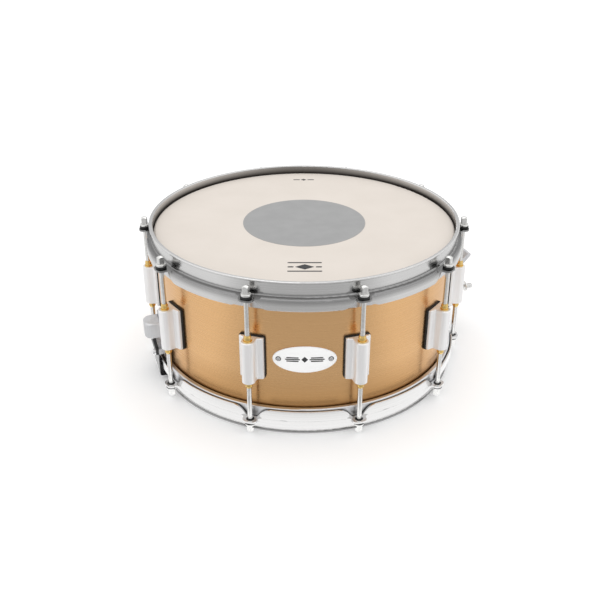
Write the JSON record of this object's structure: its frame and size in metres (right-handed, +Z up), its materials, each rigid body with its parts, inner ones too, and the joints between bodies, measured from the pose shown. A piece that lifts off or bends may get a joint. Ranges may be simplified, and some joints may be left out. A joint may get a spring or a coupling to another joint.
{
  "type": "snare drum",
  "caption": "Metal-shelled snare drum with flanged hoops, barrel lugs, tension rods, coated batter head, lever throw-off, butt plate and coiled snares.",
  "frame": {"origin": "on the drum's axis, in the plane of the bottom hoop's lip, where the drum sits on a stand or a table", "axes": "+Z up along the drum's axis, -Y towards the badge, +X to the badge side's right"},
  "size_m": [0.4258, 0.3788, 0.185],
  "materials": {
    "brushed_bronze": "brushed satin",
    "plated_screw": "bright plated",
    "badge_silver": "polished",
    "coated_film": "fine sand-like coating",
    "grey_dot": "smooth satin",
    "clear_film": "thin hazy film",
    "flesh_aluminium": "satin",
    "hoop_steel": "satin plated, brushed round",
    "brushed_lug": "brushed lengthways",
    "chrome_rod": "bright plated",
    "black_rubber": "matte",
    "brass_nut": "turned",
    "black_nylon": "satin",
    "strainer_metal": "satin plated casting",
    "black_clamp": "satin black",
    "black_strap": "satin film",
    "snare_steel": "bright drawn wire"
  },
  "bodies": {
    "drum": {"shell": "brushed_bronze", "shell_screws": "plated_screw", "badge_plate": "badge_silver", "badge_rivets": "plated_screw", "batter_film": "coated_film", "batter_dot": "grey_dot", "batter_flesh_hoop": "flesh_aluminium", "snare_side_film": "clear_film", "snare_side_flesh_hoop": "flesh_aluminium", "top_hoop": "hoop_steel", "bottom_hoop": "hoop_steel", "lug_casing_01": "brushed_lug", "lug_casing_02": "brushed_lug", "lug_casing_03": "brushed_lug", "lug_casing_04": "brushed_lug", "lug_casing_05": "brushed_lug", "lug_casing_06": "brushed_lug", "lug_casing_07": "brushed_lug", "lug_casing_08": "brushed_lug", "lug_casing_09": "brushed_lug", "lug_casing_10": "brushed_lug", "lug_gaskets": "black_rubber", "swivel_nuts": "brass_nut", "rod_washers": "black_nylon", "snare_hardware_gaskets": "black_rubber", "strainer_base": "strainer_metal", "lever_pivot_pin": "plated_screw", "butt_plate": "strainer_metal", "butt_clamp_plate": "black_clamp", "butt_clamp_screws": "plated_screw", "butt_strap": "black_strap"},
    "throw_off": {"throw_off_lever": "strainer_metal"},
    "strainer_slide": {"strainer_slide": "strainer_metal", "strainer_clamp_plate": "black_clamp", "strainer_clamp_screws": "plated_screw", "strainer_strap": "black_strap"},
    "tension_screw": {"snare_tension_screw": "chrome_rod"},
    "snares": {"snare_wires": "snare_steel", "snare_end_plates": "snare_steel"},
    "top_rod_01": {"top_tension_rod_01": "chrome_rod"},
    "top_rod_02": {"top_tension_rod_02": "chrome_rod"},
    "top_rod_03": {"top_tension_rod_03": "chrome_rod"},
    "top_rod_04": {"top_tension_rod_04": "chrome_rod"},
    "top_rod_05": {"top_tension_rod_05": "chrome_rod"},
    "top_rod_06": {"top_tension_rod_06": "chrome_rod"},
    "top_rod_07": {"top_tension_rod_07": "chrome_rod"},
    "top_rod_08": {"top_tension_rod_08": "chrome_rod"},
    "top_rod_09": {"top_tension_rod_09": "chrome_rod"},
    "top_rod_10": {"top_tension_rod_10": "chrome_rod"},
    "bottom_rod_01": {"bottom_tension_rod_01": "chrome_rod"},
    "bottom_rod_02": {"bottom_tension_rod_02": "chrome_rod"},
    "bottom_rod_03": {"bottom_tension_rod_03": "chrome_rod"},
    "bottom_rod_04": {"bottom_tension_rod_04": "chrome_rod"},
    "bottom_rod_05": {"bottom_tension_rod_05": "chrome_rod"},
    "bottom_rod_06": {"bottom_tension_rod_06": "chrome_rod"},
    "bottom_rod_07": {"bottom_tension_rod_07": "chrome_rod"},
    "bottom_rod_08": {"bottom_tension_rod_08": "chrome_rod"},
    "bottom_rod_09": {"bottom_tension_rod_09": "chrome_rod"},
    "bottom_rod_10": {"bottom_tension_rod_10": "chrome_rod"}
  },
  "joints": [
    {"name": "throw_off_swing", "type": "hinge", "parent": "drum", "child": "throw_off", "pos_m": [0.17842, 0.05797, 0.066], "axis": [-0.309, 0.9511, 0], "range_deg": [0, 60]},
    {"name": "strainer_drop", "type": "slide", "parent": "drum", "child": "strainer_slide", "axis": [0, 0, -1], "range_m": [0, 0.0055]},
    {"name": "snare_drop", "type": "hinge", "parent": "drum", "child": "snares", "pos_m": [-0.15312, -0.04975, 0.008], "axis": [-0.309, 0.9511, 0], "range_deg": [0, 0.98]},
    {"name": "snare_tension_turn", "type": "hinge", "parent": "strainer_slide", "child": "tension_screw", "pos_m": [0.19021, 0.0618, 0.0532], "axis": [0.9511, 0.309, 0], "continuous": true},
    {"name": "top_rod_01_turn", "type": "hinge", "parent": "drum", "child": "top_rod_01", "pos_m": [0.05918, -0.18213, 0.15], "axis": [0, 0, 1], "continuous": true},
    {"name": "bottom_rod_01_turn", "type": "hinge", "parent": "drum", "child": "bottom_rod_01", "pos_m": [0.05918, -0.18213, 0.035], "axis": [0, 0, 1], "continuous": true},
    {"name": "top_rod_02_turn", "type": "hinge", "parent": "drum", "child": "top_rod_02", "pos_m": [0.15493, -0.11256, 0.15], "axis": [0, 0, 1], "continuous": true},
    {"name": "bottom_rod_02_turn", "type": "hinge", "parent": "drum", "child": "bottom_rod_02", "pos_m": [0.15493, -0.11256, 0.035], "axis": [0, 0, 1], "continuous": true},
    {"name": "top_rod_03_turn", "type": "hinge", "parent": "drum", "child": "top_rod_03", "pos_m": [0.1915, 0, 0.15], "axis": [0, 0, 1], "continuous": true},
    {"name": "bottom_rod_03_turn", "type": "hinge", "parent": "drum", "child": "bottom_rod_03", "pos_m": [0.1915, 0, 0.035], "axis": [0, 0, 1], "continuous": true},
    {"name": "top_rod_04_turn", "type": "hinge", "parent": "drum", "child": "top_rod_04", "pos_m": [0.15493, 0.11256, 0.15], "axis": [0, 0, 1], "continuous": true},
    {"name": "bottom_rod_04_turn", "type": "hinge", "parent": "drum", "child": "bottom_rod_04", "pos_m": [0.15493, 0.11256, 0.035], "axis": [0, 0, 1], "continuous": true},
    {"name": "top_rod_05_turn", "type": "hinge", "parent": "drum", "child": "top_rod_05", "pos_m": [0.05918, 0.18213, 0.15], "axis": [0, 0, 1], "continuous": true},
    {"name": "bottom_rod_05_turn", "type": "hinge", "parent": "drum", "child": "bottom_rod_05", "pos_m": [0.05918, 0.18213, 0.035], "axis": [0, 0, 1], "continuous": true},
    {"name": "top_rod_06_turn", "type": "hinge", "parent": "drum", "child": "top_rod_06", "pos_m": [-0.05918, 0.18213, 0.15], "axis": [0, 0, 1], "continuous": true},
    {"name": "bottom_rod_06_turn", "type": "hinge", "parent": "drum", "child": "bottom_rod_06", "pos_m": [-0.05918, 0.18213, 0.035], "axis": [0, 0, 1], "continuous": true},
    {"name": "top_rod_07_turn", "type": "hinge", "parent": "drum", "child": "top_rod_07", "pos_m": [-0.15493, 0.11256, 0.15], "axis": [0, 0, 1], "continuous": true},
    {"name": "bottom_rod_07_turn", "type": "hinge", "parent": "drum", "child": "bottom_rod_07", "pos_m": [-0.15493, 0.11256, 0.035], "axis": [0, 0, 1], "continuous": true},
    {"name": "top_rod_08_turn", "type": "hinge", "parent": "drum", "child": "top_rod_08", "pos_m": [-0.1915, 0, 0.15], "axis": [0, 0, 1], "continuous": true},
    {"name": "bottom_rod_08_turn", "type": "hinge", "parent": "drum", "child": "bottom_rod_08", "pos_m": [-0.1915, 0, 0.035], "axis": [0, 0, 1], "continuous": true},
    {"name": "top_rod_09_turn", "type": "hinge", "parent": "drum", "child": "top_rod_09", "pos_m": [-0.15493, -0.11256, 0.15], "axis": [0, 0, 1], "continuous": true},
    {"name": "bottom_rod_09_turn", "type": "hinge", "parent": "drum", "child": "bottom_rod_09", "pos_m": [-0.15493, -0.11256, 0.035], "axis": [0, 0, 1], "continuous": true},
    {"name": "top_rod_10_turn", "type": "hinge", "parent": "drum", "child": "top_rod_10", "pos_m": [-0.05918, -0.18213, 0.15], "axis": [0, 0, 1], "continuous": true},
    {"name": "bottom_rod_10_turn", "type": "hinge", "parent": "drum", "child": "bottom_rod_10", "pos_m": [-0.05918, -0.18213, 0.035], "axis": [0, 0, 1], "continuous": true}
  ],
  "couplings": [
    {"joint": "strainer_drop", "follows": "throw_off_swing", "m_per_rad": 0.00525},
    {"joint": "snare_drop", "follows": "throw_off_swing", "ratio": 0.01631}
  ]
}
